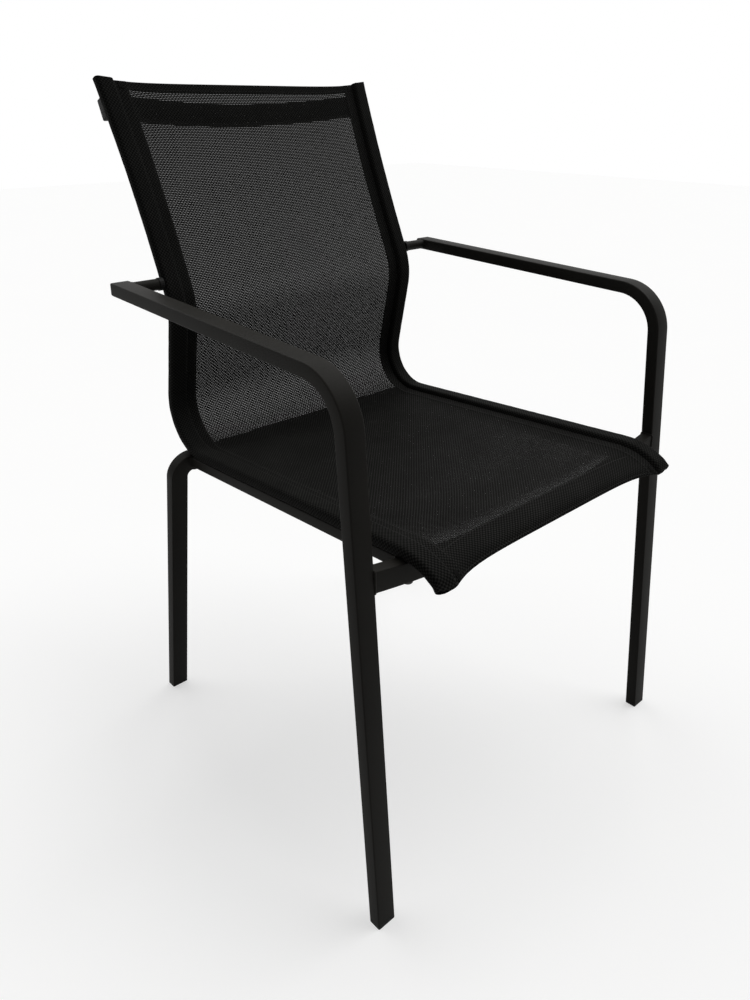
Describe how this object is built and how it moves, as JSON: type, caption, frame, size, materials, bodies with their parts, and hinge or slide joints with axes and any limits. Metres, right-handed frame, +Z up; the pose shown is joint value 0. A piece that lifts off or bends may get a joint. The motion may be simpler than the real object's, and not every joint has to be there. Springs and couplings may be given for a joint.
{
  "type": "sling patio chair",
  "caption": "Stackable garden armchair with a bent tube frame and one stretched mesh sling that forms the seat and the back in a single S-shaped sheet.",
  "frame": {"origin": "on the floor, under the middle of the chair's outer box", "axes": "+Z up from the floor, -Y the way the sitter faces, +X to the right for a viewer who looks along +Y"},
  "size_m": [0.57, 0.6634, 0.9195],
  "materials": {
    "powder_coat": "matte",
    "sling_mesh": "matte",
    "black_plastic": "matte",
    "black_steel": "satin",
    "zinc_steel": "satin"
  },
  "bodies": {
    "root": {"front_leg_arm_left": "powder_coat", "front_leg_arm_right": "powder_coat", "arm_return_left": "powder_coat", "arm_return_right": "powder_coat", "side_tube_left": "powder_coat", "side_tube_right": "powder_coat", "sling_rail_left": "powder_coat", "sling_rail_right": "powder_coat", "rear_leg_frame": "powder_coat", "front_crossbar": "powder_coat", "top_crossbar": "powder_coat", "sling": "sling_mesh", "front_foot_left": "black_plastic", "front_foot_right": "black_plastic", "rear_foot_left": "black_plastic", "rear_foot_right": "black_plastic", "arm_end_plug_left": "black_plastic", "arm_end_plug_right": "black_plastic", "rail_top_plug_left": "black_plastic", "rail_top_plug_right": "black_plastic", "rail_front_plug_left": "black_plastic", "rail_front_plug_right": "black_plastic", "top_bar_plug_left": "black_plastic", "top_bar_plug_right": "black_plastic", "arm_spacer_left": "black_plastic", "arm_spacer_right": "black_plastic", "front_spacer_left": "black_plastic", "front_spacer_right": "black_plastic", "rear_spacer_left": "black_plastic", "rear_spacer_right": "black_plastic", "front_bolt_left": "black_steel", "front_bolt_right": "black_steel", "rear_bolt_left": "black_steel", "rear_bolt_right": "black_steel", "top_bolt_left": "black_steel", "top_bolt_right": "black_steel", "arm_stud_left": "zinc_steel", "arm_stud_right": "zinc_steel", "arm_block_left": "zinc_steel", "arm_block_right": "zinc_steel", "front_nut_left": "zinc_steel", "front_nut_right": "zinc_steel", "rear_nut_left": "zinc_steel", "rear_nut_right": "zinc_steel", "top_nut_left": "zinc_steel", "top_nut_right": "zinc_steel"}
  },
  "joints": []
}
